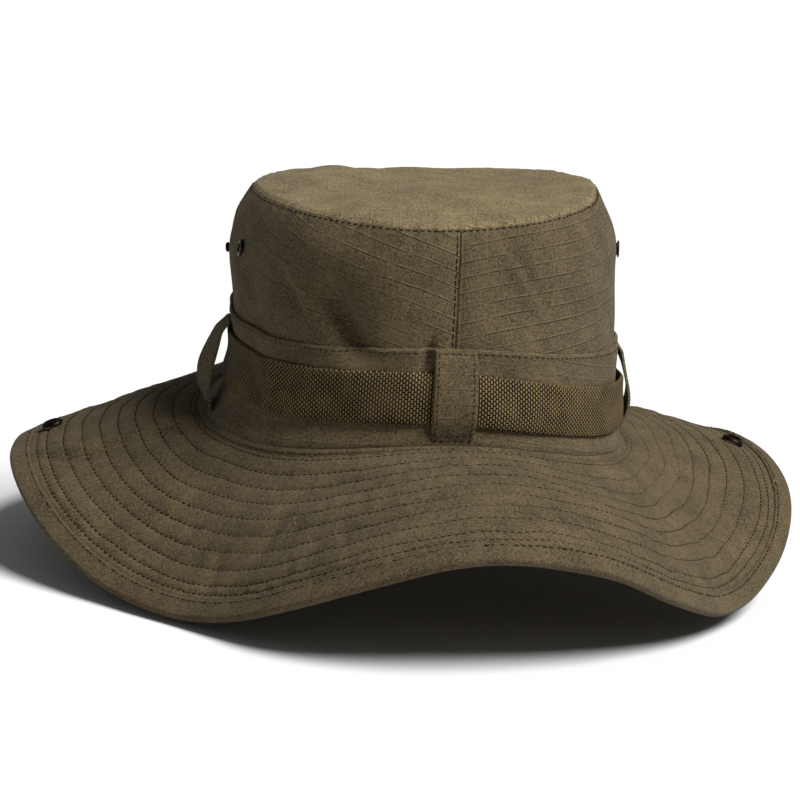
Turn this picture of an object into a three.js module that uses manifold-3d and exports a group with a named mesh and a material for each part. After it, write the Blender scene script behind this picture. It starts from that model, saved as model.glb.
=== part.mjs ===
// Boonie hat: ripstop crown on a wide wavy brim, webbing band in four keeper loops, snap-up brim sides.
// Millimetres, +Z up, the wearer's front is -Y. The origin is the head opening's middle, at the brim seam.
import * as THREE from 'three';
import { mergeVertices } from 'three/addons/utils/BufferGeometryUtils.js';
import Module from 'manifold-3d';

const wasm = await Module();
wasm.setup();

// ---- driving dimensions -------------------------------------------------------------------------
// A wave is a list of [turns, cosine part, sine part]; the angle runs from the front (-Y) towards +X.
const HEAD_HALF_WIDTH = 89;
const HEAD_HALF_LENGTH = 101;
const SEAM_WAVE = [[1, -4, -1], [2, 7, 1], [4, 1.2, 0]];

const TIP_HEIGHT = 95;
const TIP_WAVE = [[1, 0, 4.3], [2, -3, 0]];
const TIP_DOME = 3;
// [height's share, scale, scale where the webbing has pulled the crown in at CINCH_TURN]
const CROWN_OUTLINE = [
  [0, 0.985, 0.975],
  [0.085, 0.979, 0.91],
  [0.25, 0.966, 0.875],
  [0.45, 0.944, 0.89],
  [0.7, 0.933, 0.933],
  [0.86, 0.926, 0.926],
  [0.95, 0.9, 0.9],
  [1, 0.868, 0.868],
];
const CINCH_TURN = -95;

const BRIM_WIDTH = 87;
// The brim's fall in degrees, and how much more it falls at the rim than at the seam.
const BRIM_SLOPE = [
  [0, 25.5, 0],
  [1, 9.1, -1.7],
  [2, -0.4, -0.8],
  [3, -6.7, -0.8],
  [4, -7.7, -2.3],
  [5, 0.4, 0.4],
];
const BRIM_CURL = [[0, 18.2, 0], [1, 5.9, 5.2], [2, 4.5, 2.6], [3, 6.2, 5.9], [4, -1.3, 1.3]];
const BINDING_WIDTH = 9;
const RIM_ROUND = 0.9;

const CLOTH = 0.9;
const GAP = 0.35;
const BOTTOM_EDGE = 0.6;
const SEAM_SLIT = 0.003;

const BAND_HEIGHT = 43;
const BAND_WAVE = [[2, -3.3, 0]];
const WEBBING_FROM = 12.2;
const WEBBING_WAVE = [[1, -2.6, -3.2], [2, -0.9, 0]];
const WEBBING_WIDTH = 21.3;
const WEBBING_THICKNESS = 1.4;
const WEBBING_GAP = 0.6;
const SWEATBAND_HEIGHT = 34;
const TAPE_BELOW_TIP = { top: 1.5, bottom: 7.5 };
const TAPE_HALF_TURN = 0.06;
const TAPE_CLEARANCE = 1.5;
const LABEL = { halfTurn: 0.17, bottom: 8, top: 26, thickness: 0.5 };
const LOOP_WIDTH = 17.5;
const LOOP_FOOT = 3;
const LOOP_TOP_MARGIN = 0.5;
const LOOP_THICKNESS = 1.4;
const LOOP_RISE_SHARE = 0.12;
const LOOP_BOW = { front: 0.6, right: 5, back: 1, left: 7.5 };
const LOOP_TURN = { front: 0, right: 90, back: 180, left: -90 };

const FOLD_LINE_X = 94;
const FOLD_SLIT = 4;

const VENT_TURNS = { front: 76, back: 130 };
const VENT_AT = 0.77;
const VENT_HOLE_RADIUS = 2.1;
const VENT_FLANGE_RADIUS = 3.8;
const EYELET_WALL = 0.6;
const EYELET_DEPTH = 2.6;
const WASHER_SEAT = 1.5;
const WASHER_BACK = 2.1;
const CUT_PLAY = 0.4;

const SNAP_TURN = 110;
const SNAP_AT = { left: 0.681, right: 0.636 };
const SOCKET_TURN = 102;
const SOCKET_REACH = 69;
const SNAP_FLANGE_RADIUS = 4.5;
const STUD_PIN_RADIUS = 1.5;
const STUD_NECK_RADIUS = 1.6;
const STUD_HEAD_RADIUS = 2.2;
const STUD_TOP_RADIUS = 1.7;
const STUD_HEIGHTS = { pin: -1.2, head: 2.2, wide: 2.7, crownedFrom: 3.3, top: 3.8 };
const BACKING_HEIGHTS = { low: -2.4, high: -1.6 };
const SOCKET_RADIUS = 5.2;
const SOCKET_HOLE_RADIUS = 3;
const SOCKET_PLAY = 0.7;
const SOCKET_HEIGHT = 2;
const CAP_HEIGHT = 1.2;

const AROUND_CROWN = 48;
const AROUND_BRIM = 60;
const ROUND_METAL = 10;
const TINY = 0.001;
const ROW_MARGIN = 0.01;

// ---- finishes -----------------------------------------------------------------------------------
function cloth(color) {
  return new THREE.MeshStandardMaterial({ color, roughness: 0.95, metalness: 0 });
}

const RIPSTOP = cloth(0x675c45);
const BRIM_CLOTH = cloth(0x5f553f);
const BINDING = cloth(0x6a5f48);
const WEBBING = cloth(0x55492f);
const SWEAT = cloth(0x4d4533);
const TAPE = cloth(0x514934);
const LABEL_CLOTH = cloth(0xcfc9bb);
const METAL = new THREE.MeshStandardMaterial({ color: 0x2b2721, roughness: 0.4, metalness: 0.9 });

const hat = new THREE.Group();

function add(name, geometry, material) {
  const mesh = new THREE.Mesh(geometry, material);
  mesh.name = name;
  hat.add(mesh);
  return mesh;
}

// ---- solids -------------------------------------------------------------------------------------
const rad = THREE.MathUtils.degToRad;

function wave(terms, angle) {
  const height = ([turns, c, s]) => c * Math.cos(turns * angle) + s * Math.sin(turns * angle);
  return terms.reduce((sum, term) => sum + height(term), 0);
}

function geometryFrom(points, faces) {
  const geometry = new THREE.BufferGeometry();
  const position = points.flatMap((p) => [p.x, p.y, p.z]);
  geometry.setAttribute('position', new THREE.Float32BufferAttribute(position, 3));
  geometry.setIndex(faces.flat());
  return geometry;
}

// A sheet with thickness between outer(u, v) and inner(u, v); u runs from 0 to 1 along it, v across.
function slab(columns, rows, outer, inner, closed) {
  const points = [];
  const faces = [];
  const last = closed ? columns : columns + 1;
  const at = (side, i, j) => (side * last + (closed ? i % columns : i)) * (rows + 1) + j;
  const quad = (a, b, c, d) => faces.push([a, b, c], [a, c, d]);
  for (const face of [outer, inner]) {
    for (let i = 0; i < last; i++) {
      for (let j = 0; j <= rows; j++) points.push(face(i / columns, j / rows));
    }
  }
  for (let i = 0; i < columns; i++) {
    for (let j = 0; j < rows; j++) {
      quad(at(0, i, j), at(0, i + 1, j), at(0, i + 1, j + 1), at(0, i, j + 1));
      quad(at(1, i, j), at(1, i, j + 1), at(1, i + 1, j + 1), at(1, i + 1, j));
    }
    quad(at(0, i, 0), at(1, i, 0), at(1, i + 1, 0), at(0, i + 1, 0));
    quad(at(0, i, rows), at(0, i + 1, rows), at(1, i + 1, rows), at(1, i, rows));
  }
  for (let j = 0; j < rows && !closed; j++) {
    quad(at(0, 0, j), at(0, 0, j + 1), at(1, 0, j + 1), at(1, 0, j));
    quad(at(0, columns, j), at(1, columns, j), at(1, columns, j + 1), at(0, columns, j + 1));
  }
  return geometryFrom(points, faces);
}

// A round sheet with thickness, its middle one point on each face; v is 0 in the middle and 1 at the edge.
function disc(columns, rings, top, bottom) {
  const points = [top(0, 0), bottom(0, 0)];
  const faces = [];
  const at = (side, i, j) => 2 + (side * rings + j - 1) * columns + (i % columns);
  const quad = (a, b, c, d) => faces.push([a, b, c], [a, c, d]);
  for (const face of [top, bottom]) {
    for (let j = 1; j <= rings; j++) {
      for (let i = 0; i < columns; i++) points.push(face(i / columns, j / rings));
    }
  }
  for (let i = 0; i < columns; i++) {
    faces.push([0, at(0, i, 1), at(0, i + 1, 1)], [1, at(1, i + 1, 1), at(1, i, 1)]);
    for (let j = 1; j < rings; j++) {
      quad(at(0, i, j), at(0, i, j + 1), at(0, i + 1, j + 1), at(0, i + 1, j));
      quad(at(1, i, j), at(1, i + 1, j), at(1, i + 1, j + 1), at(1, i, j + 1));
    }
    quad(at(0, i, rings), at(1, i, rings), at(1, i + 1, rings), at(0, i + 1, rings));
  }
  return geometryFrom(points, faces);
}

function toSolid(geometry) {
  const bare = geometry.clone();
  bare.deleteAttribute('normal');
  bare.deleteAttribute('uv');
  const merged = mergeVertices(bare, TINY);
  const vertProperties = new Float32Array(merged.attributes.position.array);
  const triVerts = new Uint32Array(merged.index.array);
  return new wasm.Manifold(new wasm.Mesh({ numProp: 3, vertProperties, triVerts }));
}

function fromSolid(solid) {
  const { vertProperties, triVerts, numProp } = solid.getMesh();
  const geometry = new THREE.BufferGeometry();
  const position = [];
  for (let i = 0; i < vertProperties.length; i += numProp) position.push(...vertProperties.slice(i, i + 3));
  geometry.setAttribute('position', new THREE.Float32BufferAttribute(position, 3));
  geometry.setIndex(Array.from(triVerts));
  return geometry;
}

function lathe(outline) {
  const points = outline.map(([radius, height]) => new THREE.Vector2(radius, height));
  return new THREE.LatheGeometry(points, ROUND_METAL).rotateX(Math.PI / 2);
}

// Turns a geometry's +Z to the given direction and moves it to the point.
function placed(geometry, point, direction) {
  const turn = new THREE.Quaternion().setFromUnitVectors(new THREE.Vector3(0, 0, 1), direction);
  return geometry.applyQuaternion(turn).translate(point.x, point.y, point.z);
}

// ---- the hat's surfaces -------------------------------------------------------------------------
function outward(angle) {
  const across = HEAD_HALF_LENGTH * Math.sin(angle);
  const along = -HEAD_HALF_WIDTH * Math.cos(angle);
  return new THREE.Vector2(across, along).normalize();
}

function crownScale(angle, at) {
  const next = Math.max(1, CROWN_OUTLINE.findIndex(([height]) => height >= at));
  const [h0, k0, cinched0] = CROWN_OUTLINE[next - 1];
  const [h1, k1, cinched1] = CROWN_OUTLINE[next];
  const cinch = Math.max(0, Math.cos(angle - rad(CINCH_TURN))) ** 1.5;
  const free = THREE.MathUtils.mapLinear(at, h0, h1, k0, k1);
  const cinched = THREE.MathUtils.mapLinear(at, h0, h1, cinched0, cinched1);
  return THREE.MathUtils.lerp(free, cinched, cinch);
}

function crownHeight(angle) {
  return TIP_HEIGHT + wave(TIP_WAVE, angle) - wave(SEAM_WAVE, angle);
}

// A point of the crown's side; at is 0 at the brim seam and 1 at the tip seam, off is outwards.
function crownPoint(angle, at, off) {
  const scale = crownScale(angle, at);
  const out = outward(angle);
  return new THREE.Vector3(
    scale * HEAD_HALF_WIDTH * Math.sin(angle) + off * out.x,
    -scale * HEAD_HALF_LENGTH * Math.cos(angle) + off * out.y,
    wave(SEAM_WAVE, angle) + at * crownHeight(angle),
  );
}

function crownNormal(angle, at) {
  const step = 0.01;
  const along = crownPoint(angle + step, at, 0).sub(crownPoint(angle - step, at, 0));
  const up = crownPoint(angle, at + step, 0).sub(crownPoint(angle, at - step, 0));
  return along.cross(up).normalize();
}

function tipPoint(angle, from, off) {
  const scale = CROWN_OUTLINE.at(-1)[1] * from;
  return new THREE.Vector3(
    scale * HEAD_HALF_WIDTH * Math.sin(angle),
    -scale * HEAD_HALF_LENGTH * Math.cos(angle),
    TIP_HEIGHT + wave(TIP_WAVE, angle) * from ** 2 + TIP_DOME * (1 - from ** 4) + off,
  );
}

function brimSlope(angle, reach) {
  return rad(wave(BRIM_SLOPE, angle) + wave(BRIM_CURL, angle) * ((reach / BRIM_WIDTH) ** 2 - 1 / 3));
}

// A point of the brim; reach is measured along the cloth from the brim seam, lift is up from its middle.
function brimPoint(angle, reach, lift) {
  const steps = 12;
  let run = 0;
  let drop = 0;
  for (let i = 0; i < steps; i++) {
    const slope = brimSlope(angle, ((i + 0.5) * reach) / steps);
    run += (Math.cos(slope) * reach) / steps;
    drop += (Math.sin(slope) * reach) / steps;
  }
  const slope = brimSlope(angle, reach);
  const out = outward(angle);
  const away = run + lift * Math.sin(slope);
  return new THREE.Vector3(
    HEAD_HALF_WIDTH * Math.sin(angle) + away * out.x,
    -HEAD_HALF_LENGTH * Math.cos(angle) + away * out.y,
    wave(SEAM_WAVE, angle) - drop + lift * Math.cos(slope),
  );
}

function brimNormal(angle, reach) {
  const step = 0.01;
  const along = brimPoint(angle + step, reach, 0).sub(brimPoint(angle - step, reach, 0));
  const out = brimPoint(angle, reach + 1, 0).sub(brimPoint(angle, reach - 1, 0));
  return out.cross(along).normalize();
}

// ---- crown --------------------------------------------------------------------------------------
// A strip of cloth on the crown between two heights, in millimetres above the brim seam. Its rows lie
// on the corners of the crown's outline, so that layers over each other keep their distance.
function crownStrip(fromAngle, toAngle, bottom, top, offsets, closed) {
  const columns = Math.max(2, Math.round((AROUND_CROWN * (toAngle - fromAngle)) / (2 * Math.PI)));
  const low = (angle) => bottom(angle) / crownHeight(angle);
  const high = (angle) => top(angle) / crownHeight(angle);
  const turnTo = (share) => THREE.MathUtils.lerp(fromAngle, toAngle, share);
  const stations = Array.from({ length: columns }, (_, i) => turnTo(i / columns));
  const from = Math.max(...stations.map(low)) + ROW_MARGIN;
  const to = Math.min(...stations.map(high)) - ROW_MARGIN;
  const heights = CROWN_OUTLINE.map(([height]) => height);
  const corners = heights.filter((height) => height > from && height < to);
  const rows = corners.length + 1;
  const face = (off) => (u, v) => {
    const angle = turnTo(u);
    const at = [low(angle), ...corners, high(angle)][Math.round(v * rows)];
    return crownPoint(angle, at, off);
  };
  return slab(columns, rows, face(offsets[1]), face(offsets[0]), closed);
}

const level = (height) => () => height;
const bandTop = (angle) => BAND_HEIGHT + wave(BAND_WAVE, angle);
const CROWN_OFFSETS = [-CLOTH, 0];
const BAND_OFFSETS = [GAP, GAP + CLOTH];
const WEBBING_OFFSETS = [WEBBING_GAP, WEBBING_GAP + WEBBING_THICKNESS].map((off) => BAND_OFFSETS[1] + off);
const LINING_OFFSETS = [-2 * CLOTH - GAP, -CLOTH - GAP];
const LABEL_OFFSETS = [-LABEL.thickness, 0].map((off) => LINING_OFFSETS[0] - GAP + off);

function crownHole(angle, at, radius) {
  const bore = new THREE.CylinderGeometry(radius, radius, 12, ROUND_METAL).rotateX(Math.PI / 2);
  return toSolid(placed(bore, crownPoint(angle, at, 0), crownNormal(angle, at)));
}

const sides = { left: -1, right: 1 };

function crownSide(side) {
  const turn = sides[side];
  const ends = turn < 0 ? [-Math.PI + SEAM_SLIT, -SEAM_SLIT] : [SEAM_SLIT, Math.PI - SEAM_SLIT];
  const top = (angle) => crownHeight(angle);
  let panel = toSolid(crownStrip(...ends, level(BOTTOM_EDGE), top, CROWN_OFFSETS, false));
  for (const vent of Object.values(VENT_TURNS)) {
    panel = panel.subtract(crownHole(rad(turn * vent), VENT_AT, VENT_HOLE_RADIUS + EYELET_WALL + CUT_PLAY));
  }
  panel = panel.subtract(crownHole(rad(turn * SNAP_TURN), SNAP_AT[side], STUD_PIN_RADIUS + CUT_PLAY));
  add(`crown_side_${side}`, fromSolid(panel), RIPSTOP);
}

function crownTip() {
  const face = (off) => (u, v) => tipPoint(u * 2 * Math.PI, v, off);
  add('crown_tip', disc(AROUND_CROWN, 4, face(GAP + CLOTH), face(GAP)), RIPSTOP);
}

function rings() {
  const full = [0, 2 * Math.PI];
  const tipTop = (angle) => crownHeight(angle) - TAPE_BELOW_TIP.top;
  const tipBottom = (angle) => crownHeight(angle) - TAPE_BELOW_TIP.bottom;
  const webbingBottom = (angle) => WEBBING_FROM + wave(WEBBING_WAVE, angle);
  const webbingTop = (angle) => webbingBottom(angle) + WEBBING_WIDTH;
  add('outer_band', crownStrip(...full, level(BOTTOM_EDGE), bandTop, BAND_OFFSETS, true), RIPSTOP);
  add('webbing_band', crownStrip(...full, webbingBottom, webbingTop, WEBBING_OFFSETS, true), WEBBING);
  add('sweatband', crownStrip(...full, level(1), level(SWEATBAND_HEIGHT), LINING_OFFSETS, true), SWEAT);
  add('tip_seam_tape', crownStrip(...full, tipBottom, tipTop, LINING_OFFSETS, true), TAPE);
}

function seamTape(name, middle) {
  const ends = [middle - TAPE_HALF_TURN, middle + TAPE_HALF_TURN];
  const top = (angle) => crownHeight(angle) - TAPE_BELOW_TIP.bottom - TAPE_CLEARANCE;
  const strip = crownStrip(...ends, level(SWEATBAND_HEIGHT + 1), top, LINING_OFFSETS);
  add(name, strip, TAPE);
}

function sizeLabel() {
  const ends = [Math.PI - LABEL.halfTurn, Math.PI + LABEL.halfTurn];
  add('size_label', crownStrip(...ends, level(LABEL.bottom), level(LABEL.top), LABEL_OFFSETS), LABEL_CLOTH);
}

// A keeper loop: a cloth strap sewn at the band's top edge and at the brim seam, bowing out over the webbing.
function keeperLoop(name) {
  const middle = rad(LOOP_TURN[name]);
  const high = bandTop(middle) - LOOP_TOP_MARGIN;
  const rise = WEBBING_OFFSETS[1] - BAND_OFFSETS[1];
  const perTurn = Math.hypot(HEAD_HALF_WIDTH * Math.cos(middle), HEAD_HALF_LENGTH * Math.sin(middle));
  const halfTurn = LOOP_WIDTH / 2 / perTurn;
  const face = (off) => (u, v) => {
    const angle = middle + THREE.MathUtils.lerp(-halfTurn, halfTurn, u);
    const height = THREE.MathUtils.lerp(LOOP_FOOT, high, v);
    const lift = rise * THREE.MathUtils.smoothstep(Math.min(v, 1 - v), 0, LOOP_RISE_SHARE);
    const bow = LOOP_BOW[name] * Math.sin(Math.PI * v);
    return crownPoint(angle, height / crownHeight(angle), BAND_OFFSETS[1] + GAP + lift + bow + off);
  };
  add(`keeper_loop_${name}`, slab(3, 12, face(LOOP_THICKNESS), face(0)), RIPSTOP);
}

// ---- brim ---------------------------------------------------------------------------------------
const FAR = 400;

function region(xFrom, xTo, yFrom, yTo) {
  const block = new THREE.BoxGeometry(xTo - xFrom, yTo - yFrom, FAR);
  return toSolid(block.translate((xFrom + xTo) / 2, (yFrom + yTo) / 2, 0));
}

const FIXED_X = FOLD_LINE_X - FOLD_SLIT / 2;
const FLAP_X = FOLD_LINE_X + FOLD_SLIT / 2;
const FLAP_REGION = { left: [-FAR, -FLAP_X, -FAR, FAR], right: [FLAP_X, FAR, -FAR, FAR] };

function brimRing(rows, outline) {
  const face = (side) => (u, v) => {
    const [reach, lift] = outline(v, side);
    return brimPoint(u * 2 * Math.PI, reach, lift);
  };
  return toSolid(slab(AROUND_BRIM, rows, face(1), face(-1), true));
}

function brimPly(name, middleLift) {
  const bound = BRIM_WIDTH - BINDING_WIDTH;
  const reaches = [BRIM_WIDTH - 1.4, bound, 0.75 * bound, 0.5 * bound, 0.25 * bound, 0.8];
  const rows = reaches.length - 1;
  const ply = brimRing(rows, (v, side) => [reaches[Math.round(v * rows)], middleLift + (side * CLOTH) / 2]);
  add(`brim_${name}`, fromSolid(ply.intersect(region(-FIXED_X, FIXED_X, -FAR, FAR))), BRIM_CLOTH);
  for (const side of Object.keys(sides)) {
    add(`brim_${name}_${side}_flap`, fromSolid(ply.intersect(region(...FLAP_REGION[side]))), BRIM_CLOTH);
  }
}

// The binding wraps the rim: its section runs over the top, round the edge and back under the brim.
function edgeBinding() {
  const half = CLOTH + GAP / 2 + GAP;
  const wrap = [[-BINDING_WIDTH, 1], [-RIM_ROUND, 1], [-RIM_ROUND, -1], [-BINDING_WIDTH, -1]];
  const ring = brimRing(3, (v, side) => {
    const [back, up] = wrap[Math.round(v * 3)];
    const skin = side > 0 ? 0 : CLOTH / 2;
    const over = back === -RIM_ROUND && side > 0 ? RIM_ROUND : 0;
    return [BRIM_WIDTH + back + over, -up * (half + CLOTH / 2 - skin)];
  });
  add('edge_binding_front', fromSolid(ring.intersect(region(-FIXED_X, FIXED_X, -FAR, 0))), BINDING);
  add('edge_binding_back', fromSolid(ring.intersect(region(-FIXED_X, FIXED_X, 0, FAR))), BINDING);
  for (const side of Object.keys(sides)) {
    add(`edge_binding_${side}`, fromSolid(ring.intersect(region(...FLAP_REGION[side]))), BINDING);
  }
}

// ---- metal --------------------------------------------------------------------------------------
function ventEyelet(side, place) {
  const angle = rad(sides[side] * VENT_TURNS[place]);
  const point = crownPoint(angle, VENT_AT, 0);
  const normal = crownNormal(angle, VENT_AT);
  const hole = VENT_HOLE_RADIUS;
  const barrel = hole + EYELET_WALL;
  const flange = VENT_FLANGE_RADIUS;
  const outline = [
    [hole, -EYELET_DEPTH],
    [barrel, -EYELET_DEPTH],
    [barrel, GAP],
    [flange, GAP],
    [flange - 0.4, GAP + 0.7],
    [hole + 0.4, GAP + 0.9],
    [hole, GAP + 0.5],
    [hole, -EYELET_DEPTH],
  ];
  const inside = barrel + 0.3;
  const washer = [
    [inside, -WASHER_BACK],
    [flange, -WASHER_BACK],
    [flange, -WASHER_SEAT],
    [inside, -WASHER_SEAT],
    [inside, -WASHER_BACK],
  ];
  add(`vent_eyelet_${side}_${place}`, placed(lathe(outline), point, normal), METAL);
  add(`vent_washer_${side}_${place}`, placed(lathe(washer), point, normal), METAL);
}

function snapStud(side) {
  const angle = rad(sides[side] * SNAP_TURN);
  const point = crownPoint(angle, SNAP_AT[side], 0);
  const normal = crownNormal(angle, SNAP_AT[side]);
  const flange = SNAP_FLANGE_RADIUS;
  const { pin, head, wide, crownedFrom, top } = STUD_HEIGHTS;
  const outline = [
    [0, pin],
    [STUD_PIN_RADIUS, pin],
    [STUD_PIN_RADIUS, GAP],
    [flange, GAP],
    [flange - 0.4, GAP + 0.8],
    [STUD_NECK_RADIUS, GAP + 0.9],
    [STUD_NECK_RADIUS, head],
    [STUD_HEAD_RADIUS, wide],
    [STUD_HEAD_RADIUS, crownedFrom],
    [STUD_TOP_RADIUS, top],
    [0, top],
  ];
  const { low, high } = BACKING_HEIGHTS;
  const back = [[0, low], [flange, low], [flange, high], [0, high]];
  add(`snap_stud_${side}`, placed(lathe(outline), point, normal), METAL);
  add(`stud_backing_${side}`, placed(lathe(back), point, normal), METAL);
}

function snapSocket(side) {
  const angle = rad(sides[side] * SOCKET_TURN);
  const point = brimPoint(angle, SOCKET_REACH, 0);
  const normal = brimNormal(angle, SOCKET_REACH);
  const rest = CLOTH + GAP + SOCKET_PLAY;
  const hole = SOCKET_HOLE_RADIUS;
  const rim = SOCKET_RADIUS;
  const outline = [
    [hole, rest],
    [rim, rest],
    [rim - 0.3, rest + 1.1],
    [rim - 2, rest + SOCKET_HEIGHT],
    [hole, rest + SOCKET_HEIGHT],
    [hole, rest],
  ];
  const cap = [
    [0, -rest - CAP_HEIGHT],
    [rim - 1, -rest - CAP_HEIGHT],
    [rim, -rest - 0.6],
    [rim, -rest],
    [0, -rest],
  ];
  add(`snap_socket_${side}`, placed(lathe(outline), point, normal), METAL);
  add(`snap_cap_${side}`, placed(lathe(cap), point, normal), METAL);
}

// ---- assembly -----------------------------------------------------------------------------------
crownTip();
rings();
seamTape('crown_seam_tape_front', 0);
seamTape('crown_seam_tape_back', Math.PI);
sizeLabel();
Object.keys(LOOP_TURN).forEach(keeperLoop);
brimPly('top_cloth', (CLOTH + GAP) / 2);
brimPly('under_cloth', -(CLOTH + GAP) / 2);
edgeBinding();
for (const side of Object.keys(sides)) {
  crownSide(side);
  Object.keys(VENT_TURNS).forEach((place) => ventEyelet(side, place));
  snapStud(side);
  snapSocket(side);
}

export default hat;
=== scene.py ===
# Boonie hat: the cloth, stitching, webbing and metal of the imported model, with its camera, light and floor.
# Lengths are millimetres up to the point where a mesh is made, then metres. The wearer's front is -Y.
import math

import bpy
import numpy as np
from mathutils import Matrix, Vector


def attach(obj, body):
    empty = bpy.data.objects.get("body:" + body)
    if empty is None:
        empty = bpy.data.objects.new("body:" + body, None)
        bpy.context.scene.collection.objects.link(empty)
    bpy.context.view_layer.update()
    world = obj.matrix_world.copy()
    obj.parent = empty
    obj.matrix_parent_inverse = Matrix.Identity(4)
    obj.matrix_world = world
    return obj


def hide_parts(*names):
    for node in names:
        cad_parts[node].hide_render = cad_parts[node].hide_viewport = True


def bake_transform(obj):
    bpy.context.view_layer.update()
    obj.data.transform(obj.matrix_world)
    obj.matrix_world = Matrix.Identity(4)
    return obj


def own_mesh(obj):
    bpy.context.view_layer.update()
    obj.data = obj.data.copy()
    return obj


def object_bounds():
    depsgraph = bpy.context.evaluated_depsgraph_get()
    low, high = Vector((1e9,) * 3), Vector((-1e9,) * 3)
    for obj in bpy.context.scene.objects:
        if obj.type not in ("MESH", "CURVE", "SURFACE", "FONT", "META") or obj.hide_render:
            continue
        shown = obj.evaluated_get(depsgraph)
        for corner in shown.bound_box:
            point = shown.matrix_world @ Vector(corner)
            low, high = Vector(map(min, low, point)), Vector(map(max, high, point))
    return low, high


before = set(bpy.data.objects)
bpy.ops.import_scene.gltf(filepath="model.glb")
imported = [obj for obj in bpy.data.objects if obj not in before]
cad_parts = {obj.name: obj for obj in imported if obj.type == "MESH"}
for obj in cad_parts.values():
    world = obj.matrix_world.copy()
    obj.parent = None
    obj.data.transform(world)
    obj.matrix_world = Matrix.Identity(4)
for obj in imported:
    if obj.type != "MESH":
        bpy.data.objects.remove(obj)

CAD_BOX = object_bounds()
MM = 0.001
TURN = 2 * math.pi
# Radii that turn an angle round the hat into millimetres, at its foot and half way up its side.
MEAN_RADIUS = 95
SIDE_RADIUS = 92

# ---- the hat's driving dimensions, the part's own; the folds are only here ----
# A wave is a list of (turns, cosine part, sine part); the angle runs from the front (-Y) towards +X.
HEAD_HALF_WIDTH = 89
HEAD_HALF_LENGTH = 101
SEAM_WAVE = ((1, -4, -1), (2, 7, 1), (4, 1.2, 0))
TIP_HEIGHT = 95
TIP_WAVE = ((1, 0, 4.3), (2, -3, 0))
TIP_DOME = 3
CROWN_HEIGHTS = (0, 0.085, 0.25, 0.45, 0.7, 0.86, 0.95, 1)
CROWN_SCALES = (0.985, 0.979, 0.966, 0.944, 0.933, 0.926, 0.9, 0.868)
CINCHED_SCALES = (0.975, 0.91, 0.875, 0.89, 0.933, 0.926, 0.9, 0.868)
CINCH_TURN = -95
BRIM_WIDTH = 87
BRIM_SLOPE = ((0, 25.5, 0), (1, 9.1, -1.7), (2, -0.4, -0.8),
              (3, -6.7, -0.8), (4, -7.7, -2.3), (5, 0.4, 0.4))
BRIM_CURL = ((0, 18.2, 0), (1, 5.9, 5.2), (2, 4.5, 2.6), (3, 6.2, 5.9), (4, -1.3, 1.3))
BINDING_WIDTH = 9
BINDING_JOIN = 0.06
# A fold is (turn in degrees, lean, middle, length, depth), placed round the hat and along the cloth.
BRIM_FOLDS = (
    (-66, 0, 66, 14, -0.9), (-52, 0.3, 52, 16, -0.7), (-44, -0.2, 64, 11, 0.6), (-33, 0.15, 45, 14, -0.6),
    (-20, -0.2, 60, 13, 0.5), (-59, 0.5, 38, 12, 0.6), (8, 0.3, 62, 12, -0.5), (36, 0.2, 66, 12, -0.6),
    (58, -0.3, 50, 13, -0.6), (72, 0.3, 60, 12, 0.6), (120, 0.2, 55, 13, -0.7), (-125, -0.2, 55, 13, 0.6),
)
CLOTH = 0.9
GAP = 0.35
BAND_HEIGHT = 43
BAND_WAVE = ((2, -3.3, 0),)
WEBBING_FROM = 12.2
WEBBING_WAVE = ((1, -2.6, -3.2), (2, -0.9, 0))
WEBBING_WIDTH = 21.3
WEBBING_THICKNESS = 1.4
WEBBING_GAP = 0.6
SWEATBAND_HEIGHT = 34
LOOP_WIDTH = 17.5
LOOP_THICKNESS = 1.15
LOOP_CLEARANCE = 0.3
LOOP_BOW = {"front": 0.6, "right": 5, "back": 1, "left": 7.5}
LOOP_TILT = {"front": 0, "right": 1.2, "back": 0, "left": -2}
LOOP_TURN = {"front": 0, "right": 90, "back": 180, "left": -90}
CROWN_FOLDS = (
    (-48, 0.9, 62, 12, -1.1), (-14, -0.9, 62, 15, 0.6), (20, 0.9, 70, 12, 0.4), (46, -0.7, 66, 16, 0.4),
    (68, 0.5, 50, 11, 0.8), (-76, 0.2, 66, 9, -1.4), (110, 0.6, 60, 13, -1), (-140, -0.6, 60, 12, 0.9),
)
VENT_TURNS = {"front": 76, "back": 130}
VENT_AT = 0.77
VENT_HOLE_RADIUS = 2.1
VENT_FLANGE_RADIUS = 3.8
SNAP_TURN = 110
SNAP_AT = {"left": 0.681, "right": 0.636}
SOCKET_TURN = 102
SOCKET_REACH = 69
SNAP_FLANGE_RADIUS = 4.5
STUD_HEAD_RADIUS = 2.2
SOCKET_RADIUS = 5.2
SOCKET_HOLE_RADIUS = 3
SOCKET_PLAY = 0.7
SIDES = {"left": -1, "right": 1}

# ---- mesh fineness ----
AROUND_CROWN = 480
AROUND_BRIM = 600
AROUND_METAL = 40

# ---- stitching ----
STITCH_PITCH = 2.9
STITCH_LENGTH = 2.3
STITCH_WIDTH = 0.65
FIRST_ROW = 6.5
ROW_PITCH = 8
BRIM_START = -1.8
SEAM_REACHES = (2.9, 3.3, 3.7, 4.1, 4.5, 5)
BRIM_ROWS = tuple(FIRST_ROW + ROW_PITCH * i for i in range(9)) + (75,)

# ---- cloth ----
RIP_PITCH = 6.0
RIP_WIDTH = 0.42
BEAD_WIDTH = 1.25
BEAD_HEIGHT = 1.9
GRAIN = {"left": 20, "right": -13}

# ---- camera ----
CAMERA_TARGET = (0, 0, 20)
CAMERA_DISTANCE = 1400.6
CAMERA_AZIMUTH = -9.75
CAMERA_ELEVATION = 10.15
CAMERA_ROLL = 3.77
CAMERA_AIM = (-0.259, -0.657)
CAMERA_LENS = 145.3
SENSOR_WIDTH = 36
VIEW_DEPTH = 20

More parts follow.
